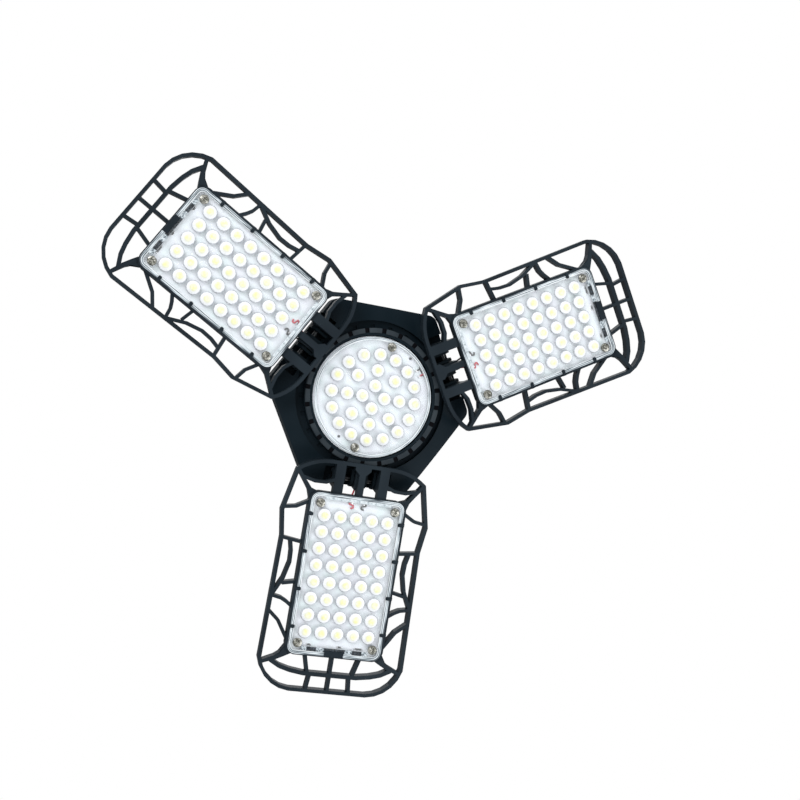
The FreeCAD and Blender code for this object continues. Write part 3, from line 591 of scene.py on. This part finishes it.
def capacitor_sleeve():
    """Shrink sleeve of an electrolytic capacitor."""
    f = Finish("capacitor_sleeve", (0.02, 0.03, 0.07), 0.22)
    f.wire(f.spread(f.noise(0.004, 2.0), 0.16, 0.3), f.shader.inputs["Roughness"])
    f.bump(f.noise(0.003, 2.0), 0.00008, 0.3)
    return f.material


def dress(material, *nodes):
    """Gives solids of the frame their finish."""
    for node in nodes:
        slots = frame["nodes"][node].data.materials
        slots.clear()
        slots.append(material)


# ---- Fine pieces ----

def cross_screw_head():
    """A pan head about +Z: z = H (0.62 + 0.38 sqrt(1 - (r / R)^2)), less a cross-shaped recess.

    The recess is full depth where min(|x|, |y|) is under the arm's half-width and
    max(|x|, |y|) is under its reach, and fades over a narrow slope.
    """
    radii = np.array([0.2, 0.36, 0.5, 0.66, 0.9, 1.2, 1.42, 1.6, 1.9, 2.2, 2.5, 2.7]) * MM
    turn = np.linspace(0, 2 * np.pi, screw_head_sides, endpoint=False)
    r, t = np.meshgrid(radii[::-1], turn, indexing="ij")
    x, y = r * np.cos(t), r * np.sin(t)
    crown = screw_head_height * (0.62 + 0.38 * np.sqrt(1 - (r / screw_head_radius) ** 2))
    inside = np.minimum(cross_arm_half - np.minimum(abs(x), abs(y)),
                        cross_reach - np.maximum(abs(x), abs(y)))
    dip = np.clip(inside / cross_slope + 0.5, 0, 1)
    slope = 1 - 0.45 * r / (1.6 * MM)
    top = np.stack([x, y, crown - dip * slope * cross_depth], -1)
    skirt = spun([(screw_head_radius * 0.96, 0.0), (screw_head_radius, 0.12 * MM),
                  (screw_head_radius, screw_head_height * 0.52)], screw_head_sides)
    return capped(np.concatenate([skirt, top]))


def dressed_screws(name, spots, body, node, bearing, material):
    """Cross-recessed heads in place of a node's plain ones, each turned by a random angle."""
    points, faces = cross_screw_head()
    generator = np.random.default_rng(len(name))
    copies = []
    for spot in spots:
        spun_points = turned(facing_down(points), generator.uniform(0, 90))
        copies.append((turned(spun_points + spot, bearing), faces))
    points, faces = gathered(copies)
    piece = make_piece(name, points, faces, material, body)
    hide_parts(node)


def lens_rise(radii):
    """A ball lens's height at a radius: z = h - R + sqrt(R^2 - r^2), R = (a^2 + h^2) / 2h."""
    ball = (lens_radius ** 2 + lens_height ** 2) / (2 * lens_height)
    return lens_height - ball + np.sqrt(ball ** 2 - radii ** 2)


def lens_glows(name, spots, body, bearing, material):
    """A thin cap just proud of each ball lens, carrying painted light: z = lens_rise(r) + lift.

    The attribute for its painted white is how much it hides, most just inside the foot and at the
    pole, and `warm` goes from 0 at the foot to 1 at the pole.
    """
    radii = glow_rows[:, 0] * (lens_radius - glow_inset)
    rise = lens_rise(radii) + glow_lift
    points, faces = capped(spun(np.column_stack([radii, rise]), glow_sides))
    points[-1, 2] = lens_height + glow_lift
    milk = np.append(np.repeat(glow_rows[:, 1], glow_sides), [0.0, glow_pole[0]])
    warm = np.append(np.repeat(glow_rows[:, 2], glow_sides), [0.0, glow_pole[1]])
    points, faces = repeated(facing_down(points), faces, spots)
    piece = make_piece(name, turned(points, bearing), faces, material, body)
    set_attributes(piece, milk=np.tile(milk, len(spots)), warm=np.tile(warm, len(spots)))


def round_outline(radius, inset):
    """A circle drawn in by inset: (r cos t, r sin t)."""
    turn = np.linspace(0, 2 * np.pi, cover_sides, endpoint=False)
    return (radius - inset) * np.column_stack([np.cos(turn), np.sin(turn)])


def rounded_outline(x0, x1, half, radius, inset):
    """A rectangle with quarter-round corners, drawn in by inset: corner centre + r (cos, sin)."""
    turn = np.linspace(0, np.pi / 2, 6)
    rows = []
    for k, (cx, cy) in enumerate(((x1 - radius, half - radius), (x0 + radius, half - radius),
                                  (x0 + radius, radius - half), (x1 - radius, radius - half))):
        t = turn + k * np.pi / 2
        r = radius - inset
        rows.append(np.column_stack([cx + r * np.cos(t), cy + r * np.sin(t)]))
    return np.vstack(rows)


def shallow_tray(outline, board, front):
    """A cover plate with a lip that stands on its board, its front edge slightly rounded.

    Rings of the outline at (inset, height) go from the hollow's ceiling, down and round the
    lip, up the outer wall and over the front edge.
    """
    height = board - front
    levels = ((cover_lip, cover_gap), (cover_lip, 0.0), (0.0, 0.0), (0.0, height - 0.35 * MM),
              (0.1 * MM, height - 0.1 * MM), (0.35 * MM, height))
    rings = []
    for inset, rise in levels:
        edge = outline(inset)
        rings.append(np.column_stack([edge[:, 0], -edge[:, 1], np.full(len(edge), rise)]))
    points, faces = capped(np.array(rings)[:, ::-1])
    return facing_down(points) + (0, 0, board), faces


def ball_lenses(spots):
    """Lens caps: z = lens_rise(r) on rings that close at the pole."""
    radii = np.array([1.0, 0.86, 0.62, 0.32]) * lens_radius
    points, faces = capped(spun(np.column_stack([radii, lens_rise(radii)]), lens_sides))
    points[-1, 2] = lens_height
    return repeated(facing_down(points), faces, spots)


def moulded_cover(name, node, outline, board, front, spots, body, bearing, material):
    """The clear cover with its lenses, in place of the plain solid."""
    points, faces = gathered([shallow_tray(outline, board, front), ball_lenses(spots)])
    piece = make_piece(name, turned(points, bearing), faces, material, body)
    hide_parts(node)


def uneven(generator, count, mean, spread):
    """Brightness round a closed edge: random knots four samples apart, straight runs between."""
    knots = generator.uniform(-1, 1, max(4, count // 4))
    at = np.linspace(0, len(knots), count, endpoint=False)
    wave = np.interp(at, np.arange(len(knots) + 1), np.append(knots, knots[0]))
    return np.clip(mean + spread * wave, 0, 1)


def set_attributes(piece, **layers):
    """One number per point under each name, for the materials to read."""
    for name, values in layers.items():
        layer = piece.data.attributes.new(name, "FLOAT", "POINT")
        layer.data.foreach_set("value", np.asarray(values, dtype=np.float32))


def painted_glint_bead(name, outline, section, front, body, bearing, material):
    """A bead along a clear cover's outline, carrying painted glints and shade of its moulded edge.

    Each row of the section is (inset, height, glint, veil): where the line runs, how bright it is
    on average and how much it hides. The runs are cut short, so that the brightness can vary
    along the edge. The underside follows the cover and the wall beside it.
    """
    generator = np.random.default_rng(11)
    base = outline(0.0)
    cuts = np.linalg.norm(np.roll(base, -1, 0) - base, axis=1) / rim_cut
    cuts = np.maximum(1, np.round(cuts)).astype(int)
    rings, glints, veils = [], [], []
    for inset, height, glint, veil in section:
        edge = outline(inset * MM)
        ahead = np.roll(edge, -1, 0)
        edge = np.vstack([a + (b - a) * np.arange(n)[:, None] / n
                          for a, b, n in zip(edge, ahead, cuts)])[::-1]
        rings.append(np.column_stack([edge[:, 0], -edge[:, 1],
                                      np.full(len(edge), height * MM)]))
        glints.append(uneven(generator, len(edge), glint, 0.4))
        veils.append(np.full(len(edge), veil))
    rings = np.array(rings)
    points = facing_down(rings.reshape(-1, 3)) + (0, 0, front)
    faces = [ring_faces(*rings.shape[:2], loop=True)]
    piece = make_piece(name, turned(points, bearing), faces, material, body)
    set_attributes(piece, glint=np.concatenate(glints), veil=np.concatenate(veils))


def end_strip(name, x0, x1, half, mean, spread, front, body, bearing, material):
    """A thin strip of painted glints across a cover's end, uneven in brightness about mean(|y|)."""
    generator = np.random.default_rng(23)
    across = np.linspace(-half, half, 64)
    along = np.linspace(x0, x1, 6)
    top = np.column_stack([along, np.full(6, 0.1 * MM)])
    loop = np.vstack([top, (x1, 0.02 * MM), (x0, 0.02 * MM)])
    rings = np.array([np.column_stack([loop[:, 0], np.full(len(loop), y), loop[:, 1]])
                      for y in across])
    points, faces = capped(rings)
    points = facing_down(points) + (0, 0, front)
    glints = mean(abs(across))[:, None] + spread * generator.uniform(-1, 1, rings.shape[:2])
    glints = np.append(np.clip(glints, 0, 1).ravel(), [0.2, 0.2])
    piece = make_piece(name, turned(points, bearing), faces, material, body)
    set_attributes(piece, glint=glints, veil=np.full(len(glints), 0.88))


def outer_glints(y):
    """Dark behind the end stop and two snaps beside it; painted glints of clear plastic between."""
    y = y / MM
    dark = (y < stop_half) | ((y > snap_from) & (y < snap_to))
    return np.where(dark, 0.0, 0.5)


def inner_glints(y):
    """Painted glints of clear plastic, a little darker at small tabs."""
    return np.where(np.mod(y / MM, tab_pitch) < tab_width, 0.52, 0.68)


def corner_gussets(body, bearing, material):
    """Webs that carry the struts into the tray's corners: prisms over plan outlines.

    A plan runs anticlockwise, sum(x y' - x' y) > 0, so that its prism faces outward.
    """
    levels = (hub_face - gusset_front, hub_face - gusset_back)
    parts = []
    for plan in (near_gusset, far_gusset):
        for side in (1, -1):
            edge = np.array(plan) * MM * (1, side)
            ahead = np.roll(edge, -1, 0)
            area = np.sum(edge[:, 0] * ahead[:, 1] - edge[:, 1] * ahead[:, 0])
            edge = edge if area > 0 else edge[::-1]
            parts.append(capped(np.array([np.column_stack([edge, np.full(len(edge), z)])
                                          for z in levels])))
    points, faces = gathered(parts)
    make_piece(body + "_corner_gussets", turned(points, bearing), faces, material, body,
               False)


def soft_pad(half_x, half_y, height, sides=12):
    """A low cushion on a superellipse: |x/a|^4 + |y/b|^4 = 1, drawn in towards its top."""
    turn = np.linspace(0, 2 * np.pi, sides, endpoint=False)
    c, s = np.cos(turn), np.sin(turn)
    edge = np.stack([half_x * np.sign(c) * abs(c) ** 0.5, half_y * np.sign(s) * abs(s) ** 0.5], -1)
    rings = []
    for scale, z in ((1.0, 0.0), (0.96, 0.75), (0.7, 1.0)):
        rings.append(np.column_stack([edge * scale, np.full(sides, z * height)]))
    return capped(np.array(rings))


def pads(spots, half_x, half_y, height):
    """A soft pad that faces the floor at every spot."""
    points, faces = soft_pad(half_x, half_y, height)
    return repeated(facing_down(points), faces, spots)


def pads_at(name, spots, size, body, bearing, material):
    """Such pads as one piece."""
    points, faces = pads(spots, *size)
    make_piece(name, turned(points, bearing), faces, material, body)


def threaded_shell(material):
    """The rolled cap: radius = crest - depth * (1 - cos(2 pi (z / pitch - turn))) / 2.

    The thread fades out at the shell's foot and shoulder, and the wall is one thickness
    throughout, closed at the foot and at the mouth.
    """
    sides = shell_sides
    z = np.linspace(0, cap_length, 46)
    turn = np.linspace(0, 1, sides, endpoint=False)
    zz, tt = np.meshgrid(z, turn, indexing="ij")
    fade = (np.clip(zz / thread_fade_foot, 0, 1)
            * np.clip((cap_length - zz) / thread_fade_top, 0, 1))
    groove = (1 - np.cos(2 * np.pi * (zz / thread_pitch - tt))) / 2
    radius = cap_radius - thread_depth * groove * fade
    bend = np.linspace(0, np.pi / 2, 7)[1:]
    shoulder_r = cap_mouth + (cap_radius - cap_mouth) * np.cos(bend)
    shoulder_z = cap_length + cap_shoulder * np.sin(bend)
    outer_r = np.vstack([radius, np.repeat(shoulder_r[:, None], sides, 1)])
    outer_z = np.vstack([zz, np.repeat(shoulder_z[:, None], sides, 1)])
    all_r = np.vstack([outer_r, outer_r[::-1] - shell_wall])
    all_z = np.vstack([outer_z, np.minimum(outer_z[::-1], cap_length + cap_shoulder - shell_wall)])
    around = 2 * np.pi * tt[0]
    points = np.stack([all_r * np.cos(around), all_r * np.sin(around), all_z], -1)
    faces = [ring_faces(len(points), sides, loop=True)]
    piece = make_piece("threaded_shell", points.reshape(-1, 3), faces, material, "hub")
    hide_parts("screw_shell")


def rounded_route(corners, bend, steps=5):
    """Points along straight runs with curved corners: (1 - t)^2 a + 2t (1 - t) c + t^2 b."""
    corners = np.asarray(corners, dtype=float)
    t = np.linspace(0, 1, steps)[:, None]
    route = [corners[:1]]
    for before, corner, after in zip(corners, corners[1:], corners[2:]):
        a = corner + (before - corner) / np.linalg.norm(before - corner) * bend
        b = corner + (after - corner) / np.linalg.norm(after - corner) * bend
        route.append((1 - t) ** 2 * a + 2 * t * (1 - t) * corner + t ** 2 * b)
    route.append(corners[-1:])
    return np.vstack(route)


def carried_circle(route, radius, sides=14):
    """A circle carried along a route, its frame kept steady against one side direction."""
    run = np.gradient(route, axis=0)
    run /= np.linalg.norm(run, axis=1)[:, None]
    side = np.cross(run, np.array([0.12, 0.99, 0.07]))
    side /= np.linalg.norm(side, axis=1)[:, None]
    other = np.cross(run, side)
    turn = np.linspace(0, 2 * np.pi, sides, endpoint=False)[None, :, None]
    spokes = np.cos(turn) * side[:, None] + np.sin(turn) * other[:, None]
    return capped(route[:, None] + radius * spokes)


def wing_leads(body, bearing, red, dark):
    """The wing's two leads: off the board, back through the tray, into the middle knuckle."""
    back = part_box(body + "_lead_red")[1].z - lead_radius
    front = wing_face - lead_clearance
    for side, name, material in ((1, "lead_red", red), (-1, "lead_black", dark)):
        outer = side * lead_spacing / 2
        corners = [(x * MM, outer + side * y * MM, front) for x, y in lead_kinks]
        corners += [(lead_drop, outer, front), (lead_drop, outer, back),
                    (lead_end, side * lead_end_half, back)]
        points, faces = carried_circle(rounded_route(corners, lead_bend), lead_radius)
        piece = make_piece("%s_%s_sleeve" % (body, name), turned(points, bearing), faces,
                           material, body)
        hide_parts("%s_%s" % (body, name))


def board_parts(body, bearing, solder, ceramic):
    """Small parts in the clear strip at a wing's outer end, and the solder on its leads."""
    last = first_led + (led_columns - 1) * led_pitch_along
    resistors = np.array([(last + resistor_along, y, wing_face) for y in resistor_across])
    pads_at(body + "_resistors", resistors, resistor_pad, body, bearing, ceramic)
    ends = np.vstack([resistors + (0, s * resistor_end, 0) for s in (-1, 1)])
    joints = np.array([(first_led - wing_joint_along, s * lead_spacing / 2, wing_face)
                       for s in (-1, 1)])
    points, faces = gathered([pads(ends, *fillet_pad), pads(joints, *wing_joint_pad)])
    make_piece(body + "_solder", turned(points, bearing), faces, solder, body)


def notched_collar(material, recess):
    """The ring of low blocks round the bezel: arcs of a rounded section with gaps between.

    A block is the section (r, z) swept over its share of the turn: all but one gap's width.
    A thin dark pad in each gap is painted shadow.
    """
    bezel = hub_face - collar_drop
    step = 2 * np.pi / collar_blocks
    section = np.array(collar_section) * MM
    arc = np.linspace(collar_gap / 2, step - collar_gap / 2, 7)
    rings = np.stack([section[None, :, 0] * np.cos(arc)[:, None],
                      section[None, :, 0] * np.sin(arc)[:, None],
                      np.repeat(section[None, :, 1] + bezel, len(arc), 0)], -1)
    points, faces = capped(rings)
    parts = [(turned(points, math.degrees(step) * i), faces) for i in range(collar_blocks)]
    points, faces = gathered(parts)
    make_piece("hub_notched_collar", points, faces, material, "hub", False)
    # Painted shadow: a thin dark pad down in each gap.
    pad, pad_faces = soft_pad(*collar_shadow_pad)
    pad = facing_down(pad) + (collar_gap_circle, 0, bezel)
    parts = [(turned(pad, math.degrees(step) * i), pad_faces) for i in range(collar_blocks)]
    points, faces = gathered(parts)
    make_piece("hub_collar_painted_shadows", points, faces, recess, "hub")


def hub_parts(solder, ceramic):
    """The hub board's two locating studs and the solder on its leads."""
    spots = [(radius * math.cos(math.radians(bearing)), radius * math.sin(math.radians(bearing)),
              hub_face) for radius, bearing in studs]
    pads_at("hub_studs", np.array(spots), stud_pad, "hub", 0.0, ceramic)
    starts = np.array([(hub_joint_circle, s * lead_spacing / 4, hub_face) for s in (-1, 1)])
    pads_at("hub_solder", starts, hub_joint_pad, "hub", lead_bearing, solder)


# ---- Camera, light and floor ----

def set_camera():
    """Below the lamp, looking up and a little to the right, as in the photograph."""
    data = bpy.data.cameras.new("camera")
    camera = bpy.data.objects.new("camera", data)
    bpy.context.scene.collection.objects.link(camera)
    data.sensor_width = sensor_width
    data.lens = camera_lens
    camera.location = camera_place
    camera.rotation_euler = Euler([math.radians(a) for a in camera_turn])
    bpy.context.scene.camera = camera


def add_lamp(name, place, target, size, power):
    """A square area lamp that faces its target."""
    data = bpy.data.lights.new(name, "AREA")
    data.shape = "SQUARE"
    data.size = size
    data.energy = power
    lamp = bpy.data.objects.new(name, data)
    bpy.context.scene.collection.objects.link(lamp)
    lamp.location = place
    aim = Vector(target) - Vector(place)
    lamp.rotation_euler = aim.to_track_quat("-Z", "Y").to_euler()


def set_world():
    """White to the eye and to reflections, a softer white as light."""
    world = bpy.data.worlds.new("studio")
    bpy.context.scene.world = world
    world.use_nodes = True
    nodes, links = world.node_tree.nodes, world.node_tree.links
    shown = nodes["Background"]
    shown.inputs["Color"].default_value = (1, 1, 1, 1)
    shown.inputs["Strength"].default_value = 1.0
    light = nodes.new("ShaderNodeBackground")
    light.inputs["Color"].default_value = (0.96, 0.98, 1.0, 1)
    light.inputs["Strength"].default_value = world_light
    path = nodes.new("ShaderNodeLightPath")
    either = nodes.new("ShaderNodeMath")
    either.operation = "MAXIMUM"
    any_of = nodes.new("ShaderNodeMath")
    any_of.operation = "MAXIMUM"
    mix = nodes.new("ShaderNodeMixShader")
    links.new(path.outputs["Is Camera Ray"], either.inputs[0])
    links.new(path.outputs["Is Glossy Ray"], either.inputs[1])
    links.new(either.outputs[0], any_of.inputs[0])
    links.new(path.outputs["Is Transmission Ray"], any_of.inputs[1])
    links.new(any_of.outputs[0], mix.inputs["Fac"])
    links.new(light.outputs[0], mix.inputs[1])
    links.new(shown.outputs[0], mix.inputs[2])
    links.new(mix.outputs[0], nodes["World Output"].inputs["Surface"])


def set_floor():
    """A pale floor well below the camera."""
    mesh = bpy.data.meshes.new("floor")
    corners = [(x * floor_half, y * floor_half, floor_height)
               for x, y in ((-1, -1), (1, -1), (1, 1), (-1, 1))]
    mesh.from_pydata(corners, [], [(0, 1, 2, 3)])
    floor = bpy.data.objects.new("floor", mesh)
    bpy.context.scene.collection.objects.link(floor)
    f = Finish("pale_floor", (0.86, 0.86, 0.86), 0.8)
    f.wire(f.ramp(f.noise(0.6, 2.0), [(0.3, (0.85, 0.85, 0.85)), (0.7, (0.87, 0.87, 0.87))]),
           f.shader.inputs["Base Color"])
    mesh.materials.append(f.material)


# ---- Put it together ----

def main():
    """Studio first, then finishes on the solids, then the fine pieces of hub and wings."""
    bpy.context.scene.view_settings.view_transform = "Standard"
    set_camera()
    set_world()
    set_floor()
    for lamp in lamps:
        add_lamp(*lamp)

    # Two copies of one black plastic: the wing frames' is paler with more coat, a painted sheen.
    black = satin_black_plastic("satin_black_plastic", (0.005, 0.010, 0.014),
                                (0.010, 0.016, 0.021), 0.06)
    web = satin_black_plastic("web_painted_sheen_plastic", (0.011, 0.016, 0.021),
                              (0.018, 0.026, 0.033), 0.12)
    edge = painted_edge_glints()
    mask = white_solder_mask()
    clear = clear_polycarbonate()
    package = chip_package()
    gel = phosphor_gel()
    glow = lens_glow()
    screw = plated_screw()
    steel = blackened_steel()
    solder = tinned_solder()
    ceramic = resistor_ceramic()
    red = lead_sleeve("red_sleeve", (0.62, 0.02, 0.06), (0.42, 0.01, 0.03))
    dark = lead_sleeve("black_sleeve", (0.03, 0.03, 0.032), (0.015, 0.015, 0.016))

    dress(black, "hub_shell", "driver_housing")
    dress(mask, "hub_led_board")
    dress(package, "hub_led_chips")
    dress(red, "hub_lead_red")
    dress(dark, "hub_lead_black")
    dress(black_vitrite(), "cap_insulator")
    dress(contact_solder(), "centre_contact")
    dress(green_laminate(), "driver_board")
    dress(winding_tape(), "driver_transformer")
    dress(capacitor_sleeve(), "driver_capacitors")
    dress(screw, "housing_screws")
    threaded_shell(rolled_nickel())
    chip_top = chip_height - gel_sink
    circle = partial(round_outline, hub_cover_radius)
    pads_at("hub_phosphor", hub_spots(hub_face - chip_top), gel_pad, "hub", 0.0, gel)
    moulded_cover("hub_moulded_cover", "hub_lens_cover", circle, hub_face, hub_cover_front,
                  hub_spots(hub_cover_front), "hub", 0.0, clear)
    # Beads and strips whose pale streaks are painted glints of the clear covers' edges.
    painted_glint_bead("hub_painted_glint_bead", circle, hub_rim_section, hub_cover_front, "hub", 0.0, edge)
    lens_glows("hub_lens_glows", hub_spots(hub_cover_front), "hub", 0.0, glow)
    hub_screws = np.array([(s * hub_screw_circle, 0, hub_cover_front) for s in (-1, 1)])
    dressed_screws("hub_screw_heads", hub_screws, "hub", "hub_cover_screws", hub_screw_bearing,
                   screw)
    hub_parts(solder, ceramic)
    # The collar's paler tone is painted sheen, and the dark pads in its gaps are painted shadow.
    notched_collar(collar_painted_sheen(), painted_gap_shadow())

    outline = partial(rounded_outline, cover_start, cover_end, cover_half, cover_corner)
    hooks = np.array([(x, s * hook_across, cover_front - hook_set_back)
                      for x in hook_along for s in (-1, 1)])
    for body, bearing in wing_bearings.items():
        dress(web, body + "_frame")
        dress(mask, body + "_led_board")
        dress(package, body + "_led_chips")
        dress(steel, body + "_hinge_screw", body + "_hinge_nut")
        wing_leads(body, bearing, red, dark)
        pads_at(body + "_phosphor", wing_spots(wing_face - chip_top), gel_pad, body, bearing,
                gel)
        moulded_cover(body + "_moulded_cover", body + "_lens_cover", outline, wing_face,
                      cover_front, wing_spots(cover_front), body, bearing, clear)
        # Beads and end strips of painted glints; dark in the outer strip is black parts under the
        # cover.
        painted_glint_bead(body + "_painted_glint_bead", outline, wing_rim_section, cover_front, body, bearing, edge)
        end_strip(body + "_outer_strip", *outer_strip, strip_half, outer_glints, 0.3,
                  cover_front, body, bearing, edge)
        end_strip(body + "_inner_strip", *inner_strip, strip_half, inner_glints, 0.18,
                  cover_front, body, bearing, edge)
        pads_at(body + "_hook_tips", hooks, hook_pad, body, bearing, web)
        corner_gussets(body, bearing, web)
        lens_glows(body + "_lens_glows", wing_spots(cover_front), body, bearing, glow)
        dressed_screws(body + "_screw_heads", wing_screw_spots(cover_front), body,
                       body + "_cover_screws", bearing, screw)
        board_parts(body, bearing, solder, ceramic)


main()
